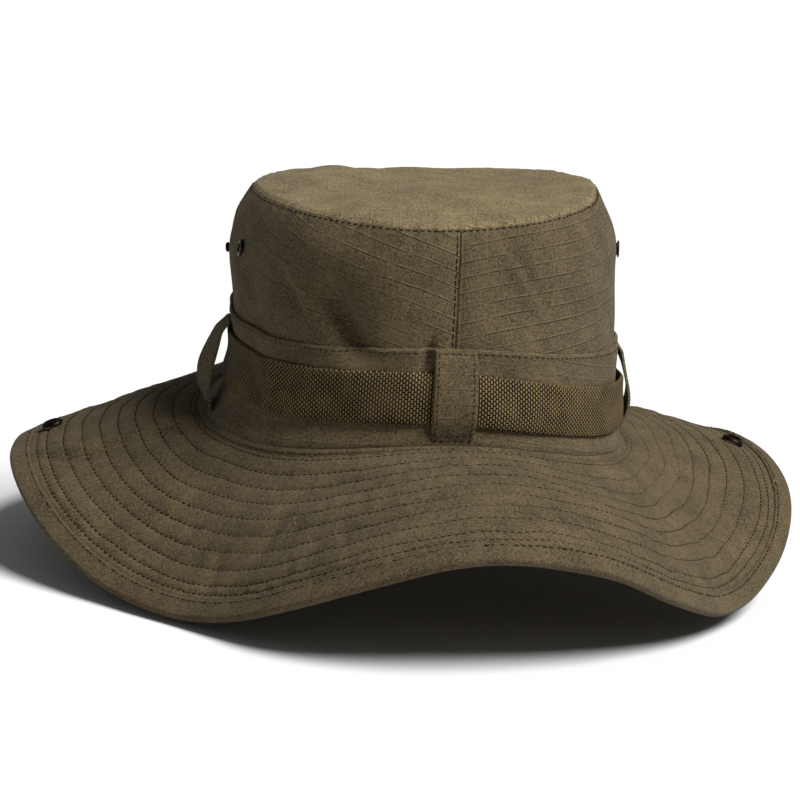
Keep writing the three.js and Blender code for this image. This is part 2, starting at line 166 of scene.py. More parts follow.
# ---- light ----
AMBIENT = 0.18
KEY_POWER = 6
KEY_TURN = 54
KEY_HEIGHT = 53
KEY_SOFTNESS = 30
FLOOR_SHARE = 0.62
FLOOR_HALF = 12
CLOTH_SHARE = 0.7


# ---- smooth fields ----
def wave(terms, angle):
    return sum(c * np.cos(turns * angle) + s * np.sin(turns * angle) for turns, c, s in terms)


def smooth(t):
    t = np.clip(t, 0, 1)
    return t * t * (3 - 2 * t)


def bell(distance, width):
    return np.exp(-((distance / width) ** 2))


def fold(beside, width):
    """A ridge with a valley in front of it, 1 high and 1 deep."""
    return bell(beside + width, width) - bell(beside - width, 0.8 * width)


def ripple(points, size, seed, count=14):
    """Smooth noise over space, about -1 to 1, with waves of about that size."""
    random = np.random.default_rng(seed)
    directions = random.normal(size=(count, 3))
    directions /= np.linalg.norm(directions, axis=1, keepdims=True)
    turns = TURN / (size * random.uniform(0.7, 1.5, count))
    phases = random.uniform(0, TURN, count)
    return np.sin(points @ (directions * turns[:, None]).T + phases).sum(-1) / math.sqrt(2 * count)


def hum(angle, turns, seed):
    """Noise round the hat, about -1 to 1, with about that many waves in one turn."""
    random = np.random.default_rng(seed)
    total = 0
    for _ in range(5):
        total = total + np.sin(round(turns * random.uniform(0.6, 1.5)) * angle + random.uniform(0, TURN))
    return total / 2.6


# ---- the hat's surfaces ----
def outward(angle):
    out = np.stack([HEAD_HALF_LENGTH * np.sin(angle), -HEAD_HALF_WIDTH * np.cos(angle)], -1)
    return out / np.linalg.norm(out, axis=-1, keepdims=True)


def outline(at, scales):
    """The crown's scale at a share of its height, with the outline's corners rounded off."""
    spread = np.minimum(0.08, np.clip(np.minimum(at, 1 - at), 0, 1))
    return np.mean([np.interp(at + k * spread, CROWN_HEIGHTS, scales) for k in (-1, -0.5, 0, 0.5, 1)], axis=0)


def crown_scale(angle, at):
    cinch = np.clip(np.cos(angle - math.radians(CINCH_TURN)), 0, 1) ** 1.5
    return outline(at, CROWN_SCALES) * (1 - cinch) + outline(at, CINCHED_SCALES) * cinch


def crown_height(angle):
    return TIP_HEIGHT + wave(TIP_WAVE, angle) - wave(SEAM_WAVE, angle)


def crown_flat(angle, at, off):
    """A point of the crown as cut, before wear has dented it."""
    out = outward(angle)
    scale = crown_scale(angle, at)
    x = scale * HEAD_HALF_WIDTH * np.sin(angle) + off * out[..., 0]
    y = -scale * HEAD_HALF_LENGTH * np.cos(angle) + off * out[..., 1]
    return np.stack([x, y, wave(SEAM_WAVE, angle) + at * crown_height(angle)], -1)


def crown_dents(angle, at):
    """How far wear has pushed the crown's cloth outwards, in millimetres."""
    points = crown_flat(angle, at, 0)
    below_tip = (1 - at) * crown_height(angle)
    height = at * crown_height(angle)
    free = smooth(at / 0.25)
    soft = free * (1.9 * ripple(points, 90, 3) + 0.9 * ripple(points, 30, 4))
    aside = (angle - math.radians(-30)) * SIDE_RADIUS
    hollow = -8 * bell(aside + 0.55 * (height - 46), 7) * bell(height - 48, 13) * smooth((height - 32) / 7)
    tuck = -4 * bell((angle + 0.13) * MEAN_RADIUS - 0.25 * (height - 38), 2.2) * bell(height - 36, 7)
    folds = 0
    for turn, lean, middle, long, deep in CROWN_FOLDS:
        beside = (angle - math.radians(turn)) * SIDE_RADIUS + lean * (height - middle)
        folds = folds + 1.5 * deep * fold(beside, 3.5) * bell(height - middle, long)
    puckers = 0.5 * hum(angle, 62, 5) * np.exp(-below_tip / 6)
    seam_pull = sum(-0.8 * bell((angle - middle) * MEAN_RADIUS, 6) for middle in (-math.pi, 0, math.pi))
    # The shoulder is rounder than the part's, most of all at the right.
    slump = -6.5 * bell(angle - math.radians(92), 0.7) * smooth((at - 0.74) / 0.26)
    slump = slump - 2 * bell(angle + math.radians(95), 0.7) * smooth((at - 0.86) / 0.14)
    dents = soft + hollow + tuck + folds + slump + puckers + seam_pull * smooth(at / 0.5)
    for side, turn in SIDES.items():
        away = (angle - math.radians(turn * SNAP_TURN)) * SIDE_RADIUS
        up = height - SNAP_AT[side] * crown_height(angle)
        dents = dents * (1 - bell(np.hypot(away, up), 13))
    return dents


def crown_point(angle, at, off):
    """A point of the crown's side; at is 0 at the brim seam and 1 at the tip seam, off is outwards."""
    angle, at = np.broadcast_arrays(np.asarray(angle, float), np.asarray(at, float))
    return crown_flat(angle, at, off + crown_dents(angle, at))


def tip_point(angle, reach, lift):
    """A point of the crown's tip; reach is 0 in the middle and 1 at the tip seam."""
    angle, reach = np.broadcast_arrays(np.asarray(angle, float), np.asarray(reach, float))
    out = outward(angle)
    push = crown_dents(angle, np.ones_like(angle)) * reach ** 4
    scale = CROWN_SCALES[-1] * reach
    x = scale * HEAD_HALF_WIDTH * np.sin(angle) + push * out[..., 0]
    y = -scale * HEAD_HALF_LENGTH * np.cos(angle) + push * out[..., 1]
    level = TIP_HEIGHT + wave(TIP_WAVE, angle) * reach ** 2 + TIP_DOME * (1 - reach ** 6)
    flat = np.stack([x, y, np.zeros_like(x)], -1)
    inside = 1 - reach ** 6
    from_seam = (1 - reach) * 88
    soft = inside * (1.9 * ripple(flat, 70, 7) + 1.1 * ripple(flat, 24, 8))
    patch = np.clip(0.6 + 0.6 * hum(angle, 9, 13), 0, 1.4)
    puckers = 0.4 * patch * hum(angle, 52, 9) * smooth(from_seam / 2) * np.exp(-from_seam / 9)
    return np.stack([x, y, level + soft + puckers + lift], -1)


def brim_slope(angle, reach):
    return np.radians(wave(BRIM_SLOPE, angle) + wave(BRIM_CURL, angle) * ((reach / BRIM_WIDTH) ** 2 - 1 / 3))


def brim_creases(angle, reach):
    """How far wear has pushed the brim up, in millimetres."""
    angle, reach = np.broadcast_arrays(angle, reach)
    points = np.stack([reach * np.sin(angle), -reach * np.cos(angle), 90 * np.sin(angle)], -1)
    free = smooth(reach / 25)
    soft = free * (1.1 * ripple(points, 60, 11) + 0.6 * ripple(points, 24, 12))
    across = (angle - math.radians(-80)) * (MEAN_RADIUS + reach) + 0.41 * (reach - 5) + 3 * np.sin(reach / 11)
    crease = (1.3 + 0.5 * np.sin(reach / 8)) * fold(across, 4.2)
    short = 0
    for turn, lean, middle, long, deep in BRIM_FOLDS:
        beside = (angle - math.radians(turn)) * (MEAN_RADIUS + reach) + lean * (reach - middle)
        short = short + 1.1 * deep * fold(beside, 3.8) * bell(reach - middle, long)
    creases = soft + crease * smooth(reach / 20) * smooth((88 - reach) / 30) + short
    for turn in SIDES.values():
        away = (angle - math.radians(turn * SOCKET_TURN)) * (MEAN_RADIUS + reach)
        creases = creases * (1 - bell(np.hypot(away, reach - SOCKET_REACH), 13))
    return creases


def brim_point(angle, reach, lift):
    """A point of the brim; reach is along the cloth from the brim seam, lift is up from its middle."""
    angle, reach = np.broadcast_arrays(np.asarray(angle, float), np.asarray(reach, float))
    steps = 12
    run = 0
    drop = 0
    for i in range(steps):
        slope = brim_slope(angle, (i + 0.5) * reach / steps)
        run = run + np.cos(slope) * reach / steps
        drop = drop + np.sin(slope) * reach / steps
    slope = brim_slope(angle, reach)
    out = outward(angle)
    up = lift + brim_creases(angle, reach)
    away = run + up * np.sin(slope)
    x = HEAD_HALF_WIDTH * np.sin(angle) + away * out[..., 0]
    y = -HEAD_HALF_LENGTH * np.cos(angle) + away * out[..., 1]
    return np.stack([x, y, wave(SEAM_WAVE, angle) - drop + up * np.cos(slope)], -1)


def brim_places(angle, reach):
    """Where a point of the brim lies on its cloth, laid out flat."""
    angle, reach = np.broadcast_arrays(angle, reach)
    out = outward(angle)
    x = HEAD_HALF_WIDTH * np.sin(angle) + reach * out[..., 0]
    y = -HEAD_HALF_LENGTH * np.cos(angle) + reach * out[..., 1]
    return np.stack([x, y], -1)


def grid_normals(points):
    """Unit normals of a grid of points, along the columns' step crossed with the rows' step."""
    along = np.gradient(points, axis=0)
    across = np.gradient(points, axis=1)
    normals = np.cross(along, across)
    return normals / np.linalg.norm(normals, axis=-1, keepdims=True)


# ---- meshes ----
def signed_volume(points, faces):
    total = 0
    for face in faces:
        a = points[face[..., 0]]
        for i in range(1, face.shape[-1] - 1):
            total += np.einsum("ij,ij->", a, np.cross(points[face[..., i]], points[face[..., i + 1]]))
    return total


def mesh_object(name, points, faces, weave, material, normals=None):
    """A smooth mesh from arrays of faces; weave gives each corner's place on its cloth, in millimetres."""
    if signed_volume(points, faces) < 0:
        faces = [face[:, ::-1] for face in faces]
        weave = [corners[:, ::-1] for corners in weave]
    used, compact = np.unique(np.concatenate([face.ravel() for face in faces]), return_inverse=True)
    mesh = bpy.data.meshes.new(name)
    mesh.vertices.add(len(used))
    mesh.vertices.foreach_set("co", (points[used] * MM).astype(np.float32).ravel())
    sizes = np.concatenate([np.full(len(face), face.shape[1]) for face in faces])
    mesh.loops.add(int(sizes.sum()))
    mesh.loops.foreach_set("vertex_index", compact.ravel().astype(np.int32))
    mesh.polygons.add(len(sizes))
    mesh.polygons.foreach_set("loop_start", np.concatenate([[0], np.cumsum(sizes)[:-1]]).astype(np.int32))
    mesh.polygons.foreach_set("use_smooth", np.ones(len(sizes), bool))
    place = mesh.attributes.new("weave", "FLOAT2", "CORNER")
    flat = np.concatenate([corners.reshape(-1, 2) for corners in weave])
    place.data.foreach_set("vector", flat.astype(np.float32).ravel())
    mesh.update(calc_edges=True)
    if normals is not None:
        mesh.normals_split_custom_set_from_vertices(normals[used].astype(float))
    mesh.materials.append(material)
    piece = bpy.data.objects.new(name, mesh)
    bpy.context.collection.objects.link(piece)
    return piece


def grid_quads(ids):
    return np.stack([ids[:-1, :-1], ids[1:, :-1], ids[1:, 1:], ids[:-1, 1:]], -1).reshape(-1, 4)


def shell(name, outer, inner, weave, material, closed=False, outer_normals=None):
    """A closed sheet between two grids with the same columns; weave holds each grid's cloth places."""
    ids = []
    start = 0
    for sheet in (outer, inner):
        count = sheet.shape[0] * sheet.shape[1]
        ids.append(start + np.arange(count).reshape(sheet.shape[:2]))
        start += count
    places = np.concatenate([weave[0].reshape(-1, 2), weave[1].reshape(-1, 2)])
    corners = [grid_quads(ids[0]), grid_quads(ids[1])[:, ::-1]]
    for row, flip in ((0, -1), (-1, 1)):
        a, b = ids[0][:, row], ids[1][:, row]
        wall = np.stack([a[:-1], a[1:], b[1:], b[:-1]], -1)
        corners.append(wall[:, ::flip])
    if not closed:
        for column, flip in ((0, 1), (-1, -1)):
            ring = np.concatenate([ids[0][column], ids[1][column][::-1]])
            corners.append(ring[::flip][None])
    faces = corners
    if closed:
        merged = np.arange(len(places))
        for grid in ids:
            merged[grid[-1]] = grid[0]
        faces = [merged[face] for face in corners]
    points = np.concatenate([outer.reshape(-1, 3), inner.reshape(-1, 3)])
    normals = None
    if outer_normals is not None:
        back = -grid_normals(inner) * np.sign(np.sum(grid_normals(inner)[0, 0] * outer_normals[0, 0]))
        normals = np.concatenate([outer_normals.reshape(-1, 3), back.reshape(-1, 3)])
    return mesh_object(name, points, faces, [places[c] for c in corners], material, normals)


def bulge(distance, radius):
    """0 at a cloth's edge, rounding up to 1 at that radius from it."""
    near = 1 - np.clip(distance / radius, 0, 1)
    return np.sqrt(np.clip(1 - near * near, 0, 1))


def edged(count, edge):
    """Shares from 0 to 1, close together at the two edges."""
    turn = np.array((0, 0.04, 0.15, 0.35, 0.65, 1)) * edge
    return np.concatenate([turn[:-1], np.linspace(edge, 1 - edge, count), 1 - turn[-2::-1]])


def turned(places, degrees):
    c, s = math.cos(math.radians(degrees)), math.sin(math.radians(degrees))
    return places @ np.array([[c, s], [-s, c]])


def crown_places(angle, height):
    """Where a point of the crown's side lies on its cloth."""
    angle, height = np.broadcast_arrays(angle, height)
    return np.stack([angle * (HEAD_HALF_WIDTH + HEAD_HALF_LENGTH) / 2, height], -1)


def crown_strip(name, node, material, angles, low, high, base, thickness, rows, grain=0, stand=None):
    """A strip of cloth on the crown's side between two heights above the brim seam, with rounded edges."""
    angle = angles[:, None]
    closed = math.isclose(angles[-1] - angles[0], TURN)
    radius = min(1.2, thickness)
    grids = []
    for shares, thick in ((rows, thickness), (rows, 0)):
        bottom = low(angle)
        span = high(angle) - bottom
        height = bottom + shares[None, :] * span
        edge = np.minimum(shares, 1 - shares)[None, :] * span
        if not closed:
            along = (angle - angles[0]) * MEAN_RADIUS
            edge = np.minimum(edge, np.minimum(along, along[-1] - along))
        off = base + thick * bulge(edge, radius)
        if stand is not None:
            off = off + stand(angle, shares[None, :])
        grids.append((crown_point(angle, height / crown_height(angle), off), crown_places(angle, height)))
    (outer, outer_places), (inner, inner_places) = grids
    weave = (turned(outer_places, grain), turned(inner_places, grain))
    piece = shell(name, outer, inner, weave, material, closed)
    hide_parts(node)
    return piece


# ---- stitches ----
def stitches(name, rows, material, pitch=STITCH_PITCH, length=STITCH_LENGTH, width=STITCH_WIDTH):
    """Rows of sewn stitches; each row is (points, normals), a fine line on the cloth and the way it faces."""
    starts, ends, ups = [], [], []
    for line, normals in rows:
        along = np.concatenate([[0], np.cumsum(np.linalg.norm(np.diff(line, axis=0), axis=1))])
        count = max(1, int(along[-1] // pitch))
        first = (np.arange(count) + 0.12) * along[-1] / count
        pick = lambda values, s: np.stack([np.interp(s, along, values[:, k]) for k in range(3)], -1)
        starts.append(pick(line, first))
        ends.append(pick(line, first + length))
        ups.append(pick(normals, first + length / 2))
    start, end, up = (np.concatenate(parts) for parts in (starts, ends, ups))
    side = np.cross(end - start, up)
    side /= np.linalg.norm(side, axis=1, keepdims=True)
    up = np.cross(side, end - start)
    up /= np.linalg.norm(up, axis=1, keepdims=True)
    points = [start - 0.25 * width * up]
    for share, swell, rise in ((0.12, 0.8, 0.1), (0.5, 1, 0.42), (0.88, 0.8, 0.1)):
        middle = start + share * (end - start) + rise * width * up
        for turn in (0, 1, 2):
            a = math.pi / 2 + turn * TURN / 3
            points.append(middle + 0.5 * width * swell * (math.cos(a) * side + math.sin(a) * up))
    points.append(end - 0.25 * width * up)
    points = np.stack(points, 1)
    count, each = points.shape[:2]
    ring = lambda i: [1 + 3 * i + k for k in (0, 1, 2)]
    quads, tips = [], []
    for k in (0, 1, 2):
        n = (k + 1) % 3
        for i in (0, 1):
            quads.append([ring(i)[k], ring(i)[n], ring(i + 1)[n], ring(i + 1)[k]])
        tips.append([0, ring(0)[n], ring(0)[k]])
        tips.append([each - 1, ring(2)[k], ring(2)[n]])
    base = (np.arange(count) * each)[:, None, None]
    faces = [(base + np.array(part)[None]).reshape(-1, len(part[0])) for part in (quads, tips)]
    places = np.zeros((count * each, 2))
    places[:, 0] = np.tile([0] + [0.3] * 3 + [1.1] * 3 + [2.0] * 3 + [2.3], count)
    places[:, 1] = np.tile([0] + [0, 0.5, 1] * 3 + [0], count)
    return mesh_object(name, points.reshape(-1, 3), faces, [places[f] for f in faces], material)


def crown_line(angles, height, off):
    """A line on the crown at a height above the brim seam, with the way it faces."""
    at = height / crown_height(angles)
    out = outward(angles)
    normals = np.concatenate([out, np.zeros((len(angles), 1))], -1)
    return crown_point(angles, at, off), normals


# ---- materials ----
def linear(red, green, blue):
    """A screen colour from 0 to 255, as it looks in this light, as the shader's numbers."""
    shares = [c / 255 for c in (red, green, blue)]
    lit = [s / 12.92 if s <= 0.04045 else ((s + 0.055) / 1.055) ** 2.4 for s in shares]
    return tuple(CLOTH_SHARE * s for s in lit) + (1,)


class Shader:
    """A material's node tree, built one call at a time."""

    def __init__(self, name):
        self.material = bpy.data.materials.new(name)
        self.material.use_nodes = True
        self.tree = self.material.node_tree
        self.surface = self.tree.nodes["Principled BSDF"]

    def add(self, kind, inputs=(), **settings):
        node = self.tree.nodes.new("ShaderNode" + kind)
        for key, value in settings.items():
            setattr(node, key, value)
        for key, value in dict(inputs).items():
            self.put(node.inputs[key], value)
        return node

    def put(self, socket, value):
        if isinstance(value, bpy.types.NodeSocket):
            self.tree.links.new(value, socket)
        else:
            socket.default_value = value

    def math(self, operation, *values):
        return self.add("Math", dict(enumerate(values)), operation=operation).outputs[0]

    def weave(self):
        """A point's place on its cloth, in millimetres."""
        return self.add("Attribute", attribute_name="weave", attribute_type="GEOMETRY").outputs["Vector"]

    def noise(self, place, stretch, detail=3, roughness=0.6):
        scaled = self.add("Mapping", {"Vector": place, "Scale": stretch}).outputs[0]
        inputs = {"Vector": scaled, "Scale": 1.0, "Detail": detail, "Roughness": roughness}
        return self.add("TexNoise", inputs).outputs[0]

    def ramp(self, value, low, high, to_low=0.0, to_high=1.0):
        inputs = {0: value, 1: low, 2: high, 3: to_low, 4: to_high}
        return self.add("MapRange", inputs, interpolation_type="SMOOTHSTEP").outputs[0]

    def total(self, *shares):
        """The sum of (value, weight) pairs."""
        result = None
        for value, weight in shares:
            part = self.math("MULTIPLY", value, weight)
            result = part if result is None else self.math("ADD", result, part)
        return result

    def mix(self, share, dark, light):
        node = self.add("Mix", data_type="RGBA", clamp_factor=True)
        self.put(node.inputs[0], share)
        self.put(node.inputs[6], dark)
        self.put(node.inputs[7], light)
        return node.outputs[2]

    def bump(self, height, distance, strength=1.0):
        return self.add("Bump", {"Height": height, "Distance": distance, "Strength": strength}).outputs[0]

    def finish(self, color, roughness, normal, sheen=0.0, metallic=0.0, specular=0.3):
        self.put(self.surface.inputs["Base Color"], color)
        self.put(self.surface.inputs["Roughness"], roughness)
        self.put(self.surface.inputs["Normal"], normal)
        self.put(self.surface.inputs["Sheen Weight"], sheen)
        self.put(self.surface.inputs["Sheen Roughness"], 0.5)
        self.put(self.surface.inputs["Metallic"], metallic)
        self.put(self.surface.inputs["Specular IOR Level"], specular)
        return self.material


def cell(shader, value, pitch):
    """How far a coordinate is from the nearest line of a grid with that pitch, from 0 on the line to 0.5."""
    share = shader.math("FRACT", shader.math("DIVIDE", value, pitch))
    return shader.math("ABSOLUTE", shader.math("SUBTRACT", share, 0.5))


def cloth_material(name, dark, light, rip=0.0, relief=0.0003, worn=0.5):
    """A fine weave with faint slubs and worn patches; rip is the strength of the ripstop's raised threads."""
    shader = Shader(name)
    place = shader.weave()
    split = shader.add("SeparateXYZ", {0: place})
    weft = shader.noise(place, (0.25, 1.1, 1), 3, 0.7)
    warp = shader.noise(place, (1.1, 0.25, 1), 3, 0.7)
    grain = shader.noise(place, (1.0, 1.0, 1), 4, 0.85)
    blotch = shader.noise(place, (0.05, 0.05, 1), 5, 0.7)
    broken = shader.ramp(shader.noise(place, (0.06, 0.3, 1), 2, 0.5), 0.32, 0.55, 0.15, 1.0)
    threads, shades = [], []
    for value, strength in ((split.outputs[0], 0.35), (split.outputs[1], 1.0)):
        for shift, found in ((0.0, threads), (RIP_WIDTH * 1.4, shades)):
            near = shader.math("SUBTRACT", 0.5, cell(shader, shader.math("ADD", value, shift), RIP_PITCH))
            line = shader.ramp(near, 0.0, RIP_WIDTH / RIP_PITCH, strength, 0.0)
            found.append(shader.math("MULTIPLY", line, broken))
    thread = shader.math("MAXIMUM", *threads)
    shade = shader.math("MAXIMUM", *shades)
    parts = ((weft, 1.1), (warp, 0.9), (grain, 3.8), (blotch, 2.6 * worn))
    middle = sum(weight for _, weight in parts) / 2
    tone = shader.total(*parts, (thread, 0.5 * rip), (shade, -0.3 * rip))
    color = shader.mix(shader.math("SUBTRACT", tone, middle - 0.5), dark, light)
    height = shader.total((weft, 0.8), (warp, 0.7), (grain, 1.8), (thread, 1.2 * rip), (shade, -0.6 * rip))
    roughness = shader.ramp(blotch, 0.3, 0.7, 0.82, 0.95)
    return shader.finish(color, roughness, shader.bump(height, relief), sheen=0.04, specular=0.1)


def webbing_material(name):
    """Coarse ribbed webbing: light beads of thread in upright columns, with the shade in the gaps between
    them painted dark.
    """
    shader = Shader(name)
    place = shader.weave()
    split = shader.add("SeparateXYZ", {0: place})
    u, v = split.outputs[0], split.outputs[1]
    column = shader.math("FLOOR", shader.math("DIVIDE", u, BEAD_WIDTH))
    shift = shader.math("MULTIPLY", shader.math("FRACT", shader.math("MULTIPLY", column, 0.5)), BEAD_HEIGHT)
    raised = shader.math("ADD", v, shift)
    side = shader.math("SUBTRACT", 0.5, cell(shader, u, BEAD_WIDTH))
    end = shader.math("SUBTRACT", 0.5, cell(shader, raised, BEAD_HEIGHT))
    bead = shader.math("MULTIPLY", shader.ramp(side, 0.02, 0.36), shader.ramp(end, 0.02, 0.3))
    fleck = shader.noise(place, (1.3, 1.3, 1), 3, 0.7)
    patch = shader.noise(place, (0.09, 0.09, 1), 3, 0.6)
    tone = shader.total((bead, 1.0), (fleck, 0.7), (patch, 0.8))
    share = shader.math("SUBTRACT", tone, 0.75)
    # The dark end colours the gaps between the beads: painted shade there, besides the yarn's own uneven tone
    # from fleck and patch.
    color = shader.mix(share, WEBBING_DARK_AND_GAP_SHADE, WEBBING_LIGHT)
    height = shader.total((bead, 1.0), (fleck, 0.25))
    roughness = shader.ramp(fleck, 0.3, 0.7, 0.7, 0.9)
    return shader.finish(color, roughness, shader.bump(height, 0.0007), specular=0.08)


def thread_material(name, dark, light):
    shader = Shader(name)
    place = shader.weave()
    twist = shader.noise(place, (4, 2, 1), 2, 0.5)
    color = shader.mix(twist, dark, light)
    roughness = shader.ramp(twist, 0.3, 0.7, 0.6, 0.8)
    return shader.finish(color, roughness, shader.bump(twist, 0.0001), specular=0.05)


def metal_material(name):
    """Blackened brass, with the brass showing faintly where it has been rubbed."""
    shader = Shader(name)
    place = shader.weave()
    rubbed = shader.noise(place, (0.8, 0.8, 1), 4, 0.7)
    scratches = shader.noise(place, (0.6, 7, 1), 3, 0.6)
    wear = shader.ramp(rubbed, 0.52, 0.75)
    color = shader.mix(wear, linear(36, 31, 24), linear(88, 74, 50))
    roughness = shader.ramp(scratches, 0.3, 0.7, 0.28, 0.5)
    height = shader.total((scratches, 0.5), (rubbed, 0.5))
    return shader.finish(color, roughness, shader.bump(height, 0.00005), metallic=1.0, specular=0.5)


# The webbing's dark end: the yarn's darker tone, and the painted shade of the gaps between its beads.
WEBBING_DARK_AND_GAP_SHADE = linear(22, 18, 10)
WEBBING_LIGHT = linear(142, 122, 84)

RIPSTOP = cloth_material("crown_ripstop", linear(60, 51, 34), linear(120, 105, 77), rip=1.0)
# The tip's cloth is a lighter copy of the crown's ripstop: painted light, standing in for the light the top
# catches at a grazing view.
TIP_CLOTH_PAINTED_LIGHT = cloth_material("tip_ripstop_painted_light", linear(82, 71, 51), linear(156, 138, 102), rip=0.7)
BAND_CLOTH = cloth_material("band_ripstop", linear(60, 51, 34), linear(120, 105, 77), rip=0.4)
# The brim's cloth is a darker copy of the crown's ripstop: painted shade for the light the brim loses below
# the crown.
BRIM_CLOTH_PAINTED_SHADE = cloth_material("brim_ripstop_painted_shade", linear(55, 47, 31), linear(115, 100, 72), rip=0.3, relief=0.00026)
BINDING = cloth_material("edge_binding", linear(56, 48, 32), linear(114, 99, 72), relief=0.00026)
WEBBING = webbing_material("webbing")
SWEAT = cloth_material("sweatband_cotton", linear(62, 54, 38), linear(112, 99, 74))
TAPE = cloth_material("seam_tape", linear(58, 51, 37), linear(108, 96, 72))
LABEL = cloth_material("label_cloth", linear(196, 190, 176), linear(235, 231, 220), worn=0.3)
METAL = metal_material("dark_brass")
# The thread is coloured far darker than the cloth: painted shade for the sunken grooves that the stitches lie
# in.
THREAD_PAINTED_SHADE = thread_material("sewing_thread_painted_shade", linear(26, 21, 12), linear(54, 45, 29))


# ---- crown ----
def full_turn(count):
    return np.linspace(-math.pi, math.pi, count + 1)


def band_top(angle):
    return BAND_HEIGHT + wave(BAND_WAVE, angle)


def level(height):
    return lambda angle: height + 0 * angle


def webbing_bottom(angle):
    return WEBBING_FROM + wave(WEBBING_WAVE, angle)


def crown_side(side, grain):
    """Half of the crown's wall, with the felled seam's ridge on the right half's edges."""
    turn = SIDES[side]
    ends = (-math.pi, 0) if turn < 0 else (0, math.pi)
    angles = np.linspace(*ends, AROUND_CROWN // 2 + 1)
    fine = np.array((0.0, 0.6, 1.2, 1.8, 2.4, 2.8, 3.2, 4.0)) / MEAN_RADIUS
    near = np.concatenate([ends[0] + fine, ends[1] - fine])
    angles = np.unique(np.concatenate([angles[3:-3], near]))[:, None]
    shares = np.concatenate([np.linspace(-0.012, 0.96, 84), np.linspace(0.965, 1, 9)])[None, :]
    from_seam = np.minimum(angles - ends[0], ends[1] - angles) * MEAN_RADIUS
    tuck = -0.9 * smooth((shares - 0.985) / 0.015)
    ridge = 0.35 * bell(from_seam - 0.8, 0.5) * (turn > 0) - 0.25 * bell(from_seam - 2.0, 0.5) * (turn > 0)
    groove = -0.45 * bell(from_seam, 0.5) - 0.3 * bell(from_seam - 1.4, 0.6) * (turn < 0)
    off = tuck + ridge + groove
    outer = crown_point(angles, shares, off)
    coarse = np.linspace(shares[0, 0], 1, 16)[None, :]
    inner = crown_point(angles, coarse, -1.6 * CLOTH)
    weave = [turned(crown_places(angles, part * crown_height(angles)), grain) for part in (shares, coarse)]
    piece = shell(f"crown_side_{side}", outer, inner, weave, RIPSTOP)
    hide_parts(f"crown_side_{side}")
    return finished(piece, "crown")


def finished(piece, body):
    """Puts a piece on its body."""
    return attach(piece, body)


def crown_tip():
    angles = full_turn(AROUND_CROWN)[:, None]
    shares = np.concatenate([np.linspace(0.004, 0.95, 42), np.linspace(0.96, 1, 8)])[None, ::-1]
    lift = 0.8 - 1.2 * smooth((shares - 0.975) / 0.025)
    outer = tip_point(angles, shares, lift)
    coarse = np.linspace(1, 0.004, 12)[None, :]
    inner = tip_point(angles, coarse, -0.3 - CLOTH)
    weave = [turned(grid[..., :2], 8) for grid in (outer, inner)]
    piece = shell("crown_tip", outer, inner, weave, TIP_CLOTH_PAINTED_LIGHT, closed=True)
    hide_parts("crown_tip")
    return finished(piece, "crown")


def webbing_stand(angle, share):
    """How far the webbing stands off the band: most beside the right loop, and a little in between."""
    beside = 2.2 * bell((angle - math.radians(74)) * MEAN_RADIUS, 12)
    between = 0.5 + 0.5 * hum(angle, 7, 21)
    return beside * (0.4 + 0.6 * share) + between * 0.7


def band_lip(angle, share):
    """How far the band's cloth stands out where it is turned in, at the brim seam and along its top edge."""
    height = share * band_top(angle)
    flare = 1.4 * smooth((11 - height) / 9)
    return flare + 1.6 * bell(height - 2.1, 0.85) + 0.35 * bell(height - band_top(angle) + 0.8, 0.7)


def crown_rings():
    around = full_turn(AROUND_CROWN)
    rows = edged(16, 0.03)
    band = crown_strip("outer_band", "outer_band", BAND_CLOTH, around, level(-0.6), band_top,
                       GAP, CLOTH + 0.35, rows, grain=3, stand=band_lip)
    finished(band, "crown")
    webbing = crown_strip("webbing_band", "webbing_band", WEBBING, full_turn(300), webbing_bottom,
                          lambda a: webbing_bottom(a) + WEBBING_WIDTH, GAP + CLOTH + WEBBING_GAP,
                          WEBBING_THICKNESS, edged(8, 0.04), stand=webbing_stand)
    finished(webbing, "crown")
    lining = -2 * CLOTH - GAP
    sweatband = crown_strip("sweatband", "sweatband", SWEAT, full_turn(240), level(1),
                            level(SWEATBAND_HEIGHT), lining, CLOTH, edged(8, 0.03), grain=45)
    finished(sweatband, "crown")
    tip_tape = crown_strip("tip_seam_tape", "tip_seam_tape", TAPE, full_turn(240),
                           lambda a: crown_height(a) - 7.5, lambda a: crown_height(a) - 1.5,
                           lining, CLOTH, edged(3, 0.15))
    finished(tip_tape, "crown")
    for place, middle in (("front", 0), ("back", math.pi)):
        angles = middle + np.linspace(-0.06, 0.06, 13)
        name = f"crown_seam_tape_{place}"
        tape = crown_strip(name, name, TAPE, angles, level(SWEATBAND_HEIGHT + 1),
                           lambda a: crown_height(a) - 9, lining, CLOTH, edged(14, 0.02))
        finished(tape, "crown")
    label_angles = math.pi + np.linspace(-0.17, 0.17, 21)
    label = crown_strip("size_label", "size_label", LABEL, label_angles, level(8), level(26),
                        lining - GAP - 0.5, 0.5, edged(10, 0.04))
    finished(label, "crown")


def loop_lift(name, share):
    """How far a keeper loop's strap stands off the band at a share of its height."""
    over = WEBBING_THICKNESS + 0.6
    climb = smooth(np.minimum(share / 0.3, (1 - share) / 0.14))
    return over * climb + LOOP_BOW[name] * np.sin(math.pi * share)


